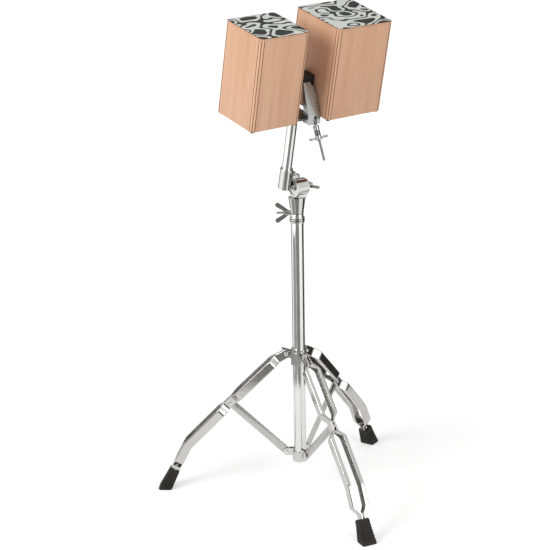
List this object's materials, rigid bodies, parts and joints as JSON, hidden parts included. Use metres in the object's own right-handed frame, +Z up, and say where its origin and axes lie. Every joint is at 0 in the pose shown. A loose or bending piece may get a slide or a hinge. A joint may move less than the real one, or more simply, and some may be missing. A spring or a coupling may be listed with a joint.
{
  "type": "box hand drums on stand",
  "caption": "Square wooden box hand drums of different width, joined side by side and clamped on a folding double-braced tripod stand with height, tilt and swivel.",
  "frame": {"origin": "middle of the object's box, on the floor plane", "axes": "+X from the small drum to the large drum, -Y towards the player, +Z up"},
  "size_m": [0.5798, 0.5576, 1.1249],
  "materials": {
    "beech_panel": "pale pinkish beech plywood, satin lacquer, upright grain",
    "beech_post": "pale beech corner strip with fine upright grooves, satin lacquer",
    "printed_head": "thin plywood playing board with a black and off-white abstract print",
    "plain_batten": "unfinished softwood batten",
    "black_rubber": "matt black moulded rubber",
    "black_nylon": "black nylon",
    "grey_steel": "pressed steel plate, satin nickel",
    "black_block": "black painted hardwood block",
    "dark_bolt": "dark zinc plated steel",
    "chrome_strip": "bright chrome plated pressed steel",
    "chrome_tube": "bright chrome plated steel tube",
    "rivet_steel": "plated steel rivets",
    "chrome_casting": "chrome plated zinc casting"
  },
  "bodies": {
    "stand_base": {"base_tube": "chrome_tube", "tube_plug": "black_nylon", "brace_collar": "chrome_casting", "brace_collar_pin": "rivet_steel", "brace_collar_rivets": "rivet_steel", "height_clamp": "chrome_casting", "height_clamp_bolt": "chrome_casting"},
    "leg_collar": {"leg_collar": "chrome_casting"},
    "leg_wing_bolt": {"leg_wing_bolt": "chrome_casting"},
    "rear_leg": {"rear_leg_strip_a": "chrome_strip", "rear_leg_strip_b": "chrome_strip", "rear_leg_rivets": "rivet_steel", "rear_rubber_foot": "black_rubber"},
    "rear_brace": {"rear_brace": "chrome_strip"},
    "left_leg": {"left_leg_strip_a": "chrome_strip", "left_leg_strip_b": "chrome_strip", "left_leg_rivets": "rivet_steel", "left_rubber_foot": "black_rubber"},
    "left_brace": {"left_brace": "chrome_strip"},
    "front_leg": {"front_leg_strip_a": "chrome_strip", "front_leg_strip_b": "chrome_strip", "front_leg_rivets": "rivet_steel", "front_rubber_foot": "black_rubber"},
    "front_brace": {"front_brace": "chrome_strip"},
    "height_wing_nut": {"height_wing_nut": "chrome_casting"},
    "tube_bush": {"tube_bush": "black_nylon"},
    "height_tube": {"height_tube": "chrome_tube", "height_tube_guide": "black_nylon", "tilter_base": "chrome_casting", "tilter_cross_pin": "dark_bolt", "tilter_bolt": "chrome_casting", "tilter_washer": "chrome_casting"},
    "tilter_wing_nut": {"tilter_wing_nut": "chrome_casting"},
    "tilter_head": {"tilter_head": "chrome_casting", "rod_socket_screw": "dark_bolt"},
    "rod_and_drums": {"support_rod": "chrome_tube", "rod_top_screw": "dark_bolt", "bracket_plate": "grey_steel", "jaw_pin": "rivet_steel", "jaw_bolt": "dark_bolt", "centre_block": "black_block", "block_bolts": "dark_bolt", "small_drum_front_panel": "beech_panel", "small_drum_back_panel": "beech_panel", "small_drum_left_panel": "beech_panel", "small_drum_right_panel": "beech_panel", "small_drum_corner_posts": "beech_post", "small_drum_head": "printed_head", "small_drum_battens": "plain_batten", "small_drum_feet": "black_rubber", "large_drum_front_panel": "beech_panel", "large_drum_back_panel": "beech_panel", "large_drum_left_panel": "beech_panel", "large_drum_right_panel": "beech_panel", "large_drum_corner_posts": "beech_post", "large_drum_head": "printed_head", "large_drum_battens": "plain_batten", "large_drum_feet": "black_rubber"},
    "clamp_jaw": {"clamp_jaw": "grey_steel"},
    "jaw_nut": {"jaw_nut": "chrome_casting"}
  },
  "joints": [
    {"name": "collar_slide", "type": "slide", "parent": "stand_base", "child": "leg_collar", "axis": [0, 0, 1], "range_m": [0, 0.105]},
    {"name": "rear_leg_fold", "type": "hinge", "parent": "leg_collar", "child": "rear_leg", "pos_m": [-0.00112, 0.05959, 0.338], "axis": [-0.3289, 0.9444, 0], "range_deg": [0, 34.46]},
    {"name": "rear_brace_turn", "type": "hinge", "parent": "stand_base", "child": "rear_brace", "pos_m": [0.0001, 0.06002, 0.0963], "axis": [0.3289, -0.9444, 0], "range_deg": [0, 34.41]},
    {"name": "left_leg_fold", "type": "hinge", "parent": "leg_collar", "child": "left_leg", "pos_m": [-0.05047, 0.069, 0.338], "axis": [-0.6534, -0.757, 0], "range_deg": [0, 34.46]},
    {"name": "left_brace_turn", "type": "hinge", "parent": "stand_base", "child": "left_brace", "pos_m": [-0.05145, 0.06985, 0.0963], "axis": [0.6534, 0.757, 0], "range_deg": [0, 34.41]},
    {"name": "front_leg_fold", "type": "hinge", "parent": "leg_collar", "child": "front_leg", "pos_m": [-0.03395, 0.02157, 0.338], "axis": [0.9823, -0.1874, 0], "range_deg": [0, 34.46]},
    {"name": "front_brace_turn", "type": "hinge", "parent": "stand_base", "child": "front_brace", "pos_m": [-0.03419, 0.02029, 0.0963], "axis": [-0.9823, 0.1874, 0], "range_deg": [0, 34.41]},
    {"name": "leg_bolt_turn", "type": "hinge", "parent": "leg_collar", "child": "leg_wing_bolt", "pos_m": [-0.02383, 0.07461, 0.335], "axis": [0.1874, 0.9823, 0], "continuous": true},
    {"name": "height_nut_turn", "type": "hinge", "parent": "stand_base", "child": "height_wing_nut", "pos_m": [-0.02296, 0.07281, 0.6664], "axis": [-0.7976, 0.6032, 0], "continuous": true},
    {"name": "column_swivel", "type": "hinge", "parent": "stand_base", "child": "tube_bush", "pos_m": [-0.02851, 0.05005, 0.671], "axis": [0, 0, 1], "continuous": true},
    {"name": "height_slide", "type": "slide", "parent": "tube_bush", "child": "height_tube", "axis": [0, 0, 1], "range_m": [0, 0.35]},
    {"name": "tilter_tilt", "type": "hinge", "parent": "height_tube", "child": "tilter_head", "pos_m": [-0.02851, 0.05005, 0.7302], "axis": [1, 0, 0], "range_deg": [-35, 78]},
    {"name": "tilter_nut_turn", "type": "hinge", "parent": "height_tube", "child": "tilter_wing_nut", "pos_m": [0.00299, 0.05005, 0.7302], "axis": [1, 0, 0], "continuous": true},
    {"name": "rod_swivel", "type": "hinge", "parent": "tilter_head", "child": "rod_and_drums", "pos_m": [-0.04801, 0.05633, 0.79282], "axis": [0, -0.2053, 0.9787], "continuous": true},
    {"name": "jaw_swing", "type": "hinge", "parent": "rod_and_drums", "child": "clamp_jaw", "pos_m": [-0.01571, 0.01267, 0.8889], "axis": [1, 0, 0], "range_deg": [0, 6]},
    {"name": "jaw_nut_turn", "type": "hinge", "parent": "rod_and_drums", "child": "jaw_nut", "pos_m": [-0.01571, -0.00228, 0.87898], "axis": [0, -0.3706, -0.9288], "continuous": true}
  ],
  "couplings": [
    {"joint": "rear_leg_fold", "follows": "collar_slide", "rad_per_m": 5.7205},
    {"joint": "rear_brace_turn", "follows": "collar_slide", "rad_per_m": 5.7113},
    {"joint": "left_leg_fold", "follows": "collar_slide", "rad_per_m": 5.7205},
    {"joint": "left_brace_turn", "follows": "collar_slide", "rad_per_m": 5.7113},
    {"joint": "front_leg_fold", "follows": "collar_slide", "rad_per_m": 5.7205},
    {"joint": "front_brace_turn", "follows": "collar_slide", "rad_per_m": 5.7113}
  ]
}
